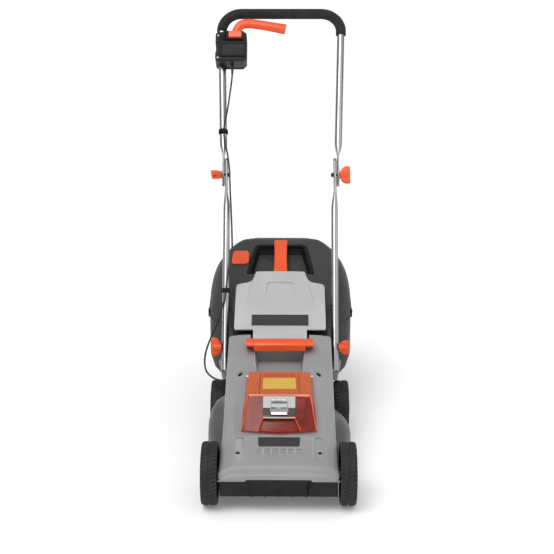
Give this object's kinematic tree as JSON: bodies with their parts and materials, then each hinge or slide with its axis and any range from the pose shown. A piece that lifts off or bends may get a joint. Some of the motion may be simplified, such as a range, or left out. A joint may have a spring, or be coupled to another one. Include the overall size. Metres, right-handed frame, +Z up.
{
  "type": "cordless lawn mower",
  "caption": "Push lawn mower with a covered battery, rear flap, hard grass catcher and a folding two-part handle with a bail lever.",
  "frame": {"origin": "on the ground under the middle of the machine's box, cable left out", "axes": "+Z up, -Y the way the mower drives, +Y towards the handle, +X to the right seen from in front of it"},
  "size_m": [0.4039, 1.0709, 1.0886],
  "materials": {
    "hood_plastic": "fine-grained mid grey moulding",
    "flap_plastic": "fine-grained light grey moulding",
    "battery_latch": "smooth pale latch",
    "black_plastic": "satin black moulding",
    "catcher_plastic": "satin dark grey moulding",
    "orange_plastic": "satin orange moulding",
    "clear_orange": "clear orange-red polycarbonate",
    "wheel_plastic": "hard black wheel plastic",
    "tube_metal": "satin silver tube",
    "grip_foam": "closed-cell black foam",
    "zinc_steel": "zinc-plated steel",
    "blade_steel": "dark coated steel with a bright edge",
    "board": "green circuit board",
    "cable_rubber": "black cable sheath"
  },
  "bodies": {
    "deck": {"deck_housing": "black_plastic", "front_skirt": "black_plastic", "hood": "hood_plastic", "carry_handle": "orange_plastic", "front_badge": "black_plastic", "battery_dock": "black_plastic", "battery_pack": "black_plastic", "cover_hinge_pin": "zinc_steel", "motor_body": "zinc_steel", "controller_board": "board", "flap_rod": "zinc_steel", "flap_spring": "zinc_steel", "front_axle": "zinc_steel", "rear_axle": "zinc_steel", "handle_bracket_left": "black_plastic", "handle_bracket_right": "black_plastic", "mount_bolt_left": "zinc_steel", "mount_bolt_right": "zinc_steel", "cable_lower": "cable_rubber"},
    "wheel_front_left_body": {"wheel_front_left": "wheel_plastic", "hubcap_front_left": "wheel_plastic"},
    "wheel_front_right_body": {"wheel_front_right": "wheel_plastic", "hubcap_front_right": "wheel_plastic"},
    "wheel_rear_left_body": {"wheel_rear_left": "wheel_plastic", "hubcap_rear_left": "wheel_plastic"},
    "wheel_rear_right_body": {"wheel_rear_right": "wheel_plastic", "hubcap_rear_right": "wheel_plastic"},
    "rotor": {"motor_shaft": "zinc_steel", "blade_hub": "black_plastic", "blade": "blade_steel", "blade_bolt": "blade_steel"},
    "flap": {"rear_flap": "flap_plastic"},
    "cover": {"battery_cover": "clear_orange"},
    "battery_button": {"battery_release_button": "battery_latch"},
    "key": {"safety_key": "orange_plastic"},
    "catcher": {"catcher_body": "catcher_plastic", "catcher_lid": "catcher_plastic", "catcher_handle": "orange_plastic"},
    "indicator": {"level_indicator": "orange_plastic"},
    "lower_handle": {"lower_tube_left": "tube_metal", "lower_tube_right": "tube_metal", "cable_clip_lower": "black_plastic", "cable_middle": "cable_rubber"},
    "upper_handle": {"upper_tube": "tube_metal", "joint_bolt_left": "black_plastic", "joint_bolt_right": "black_plastic", "grip_sleeve": "grip_foam", "switch_housing": "black_plastic", "switch_back_cover": "black_plastic", "microswitch": "black_plastic", "lever_pin": "zinc_steel", "cable_clip_upper": "black_plastic", "cable_upper": "cable_rubber"},
    "lever": {"bail_lever": "orange_plastic"},
    "lock_button": {"lock_off_button": "orange_plastic"},
    "mount_knob_left_body": {"mount_knob_left": "orange_plastic"},
    "wing_knob_left_body": {"wing_knob_left": "orange_plastic"},
    "mount_knob_right_body": {"mount_knob_right": "orange_plastic"},
    "wing_knob_right_body": {"wing_knob_right": "orange_plastic"}
  },
  "joints": [
    {"name": "wheel_front_left_spin", "type": "hinge", "parent": "deck", "child": "wheel_front_left_body", "pos_m": [-0.1655, -0.46, 0.076], "axis": [1, 0, 0], "continuous": true},
    {"name": "wheel_front_right_spin", "type": "hinge", "parent": "deck", "child": "wheel_front_right_body", "pos_m": [0.1655, -0.46, 0.076], "axis": [1, 0, 0], "continuous": true},
    {"name": "wheel_rear_left_spin", "type": "hinge", "parent": "deck", "child": "wheel_rear_left_body", "pos_m": [-0.1655, -0.09, 0.076], "axis": [1, 0, 0], "continuous": true},
    {"name": "wheel_rear_right_spin", "type": "hinge", "parent": "deck", "child": "wheel_rear_right_body", "pos_m": [0.1655, -0.09, 0.076], "axis": [1, 0, 0], "continuous": true},
    {"name": "blade_spin", "type": "hinge", "parent": "deck", "child": "rotor", "pos_m": [0, -0.275, 0.0535], "axis": [0, 0, 1], "continuous": true},
    {"name": "rear_flap_hinge", "type": "hinge", "parent": "deck", "child": "flap", "pos_m": [0, -0.13, 0.279], "axis": [1, 0, 0], "range_deg": [0, 60], "stiffness_Nm_per_rad": 0.3, "springref_deg": -17.19},
    {"name": "battery_cover_hinge", "type": "hinge", "parent": "deck", "child": "cover", "pos_m": [0, -0.268, 0.246], "axis": [-1, 0, 0], "range_deg": [0, 75]},
    {"name": "battery_release_press", "type": "slide", "parent": "deck", "child": "battery_button", "axis": [0, 0.7619, -0.6476], "range_m": [0, 0.003], "stiffness_N_per_m": 500},
    {"name": "safety_key_pull", "type": "slide", "parent": "deck", "child": "key", "axis": [0, 0, 1], "range_m": [0, 0.012]},
    {"name": "catcher_removal", "type": "slide", "parent": "deck", "child": "catcher", "axis": [0, 0.9659, 0.2588], "range_m": [0, 0.2]},
    {"name": "level_indicator_lift", "type": "hinge", "parent": "catcher", "child": "indicator", "pos_m": [-0.111, 0.167, 0.3977], "axis": [1, 0, 0], "range_deg": [0, 25]},
    {"name": "lower_handle_fold", "type": "hinge", "parent": "deck", "child": "lower_handle", "pos_m": [0, -0.06, 0.242], "axis": [-1, 0, 0], "range_deg": [-60, 0], "deforming": ["cable_lower", "cable_middle"]},
    {"name": "upper_handle_fold", "type": "hinge", "parent": "lower_handle", "child": "upper_handle", "pos_m": [0, 0.22736, 0.65239], "axis": [-1, 0, 0], "range_deg": [-130, 0], "deforming": ["cable_upper", "cable_middle"]},
    {"name": "bail_lever_pull", "type": "hinge", "parent": "upper_handle", "child": "lever", "pos_m": [-0.1345, 0.44844, 1.0152], "axis": [0, 0.8192, -0.5736], "range_deg": [0, 10], "stiffness_Nm_per_rad": 0.5},
    {"name": "lock_off_press", "type": "slide", "parent": "upper_handle", "child": "lock_button", "axis": [0, 0.8192, -0.5736], "range_m": [0, 0.004], "stiffness_N_per_m": 400},
    {"name": "mount_knob_left_turn", "type": "hinge", "parent": "deck", "child": "mount_knob_left_body", "pos_m": [-0.172, -0.06, 0.242], "axis": [1, 0, 0], "continuous": true},
    {"name": "wing_knob_left_turn", "type": "hinge", "parent": "upper_handle", "child": "wing_knob_left_body", "pos_m": [-0.182, 0.22736, 0.65239], "axis": [1, 0, 0], "continuous": true},
    {"name": "mount_knob_right_turn", "type": "hinge", "parent": "deck", "child": "mount_knob_right_body", "pos_m": [0.172, -0.06, 0.242], "axis": [1, 0, 0], "continuous": true},
    {"name": "wing_knob_right_turn", "type": "hinge", "parent": "upper_handle", "child": "wing_knob_right_body", "pos_m": [0.182, 0.22736, 0.65239], "axis": [1, 0, 0], "continuous": true}
  ]
}
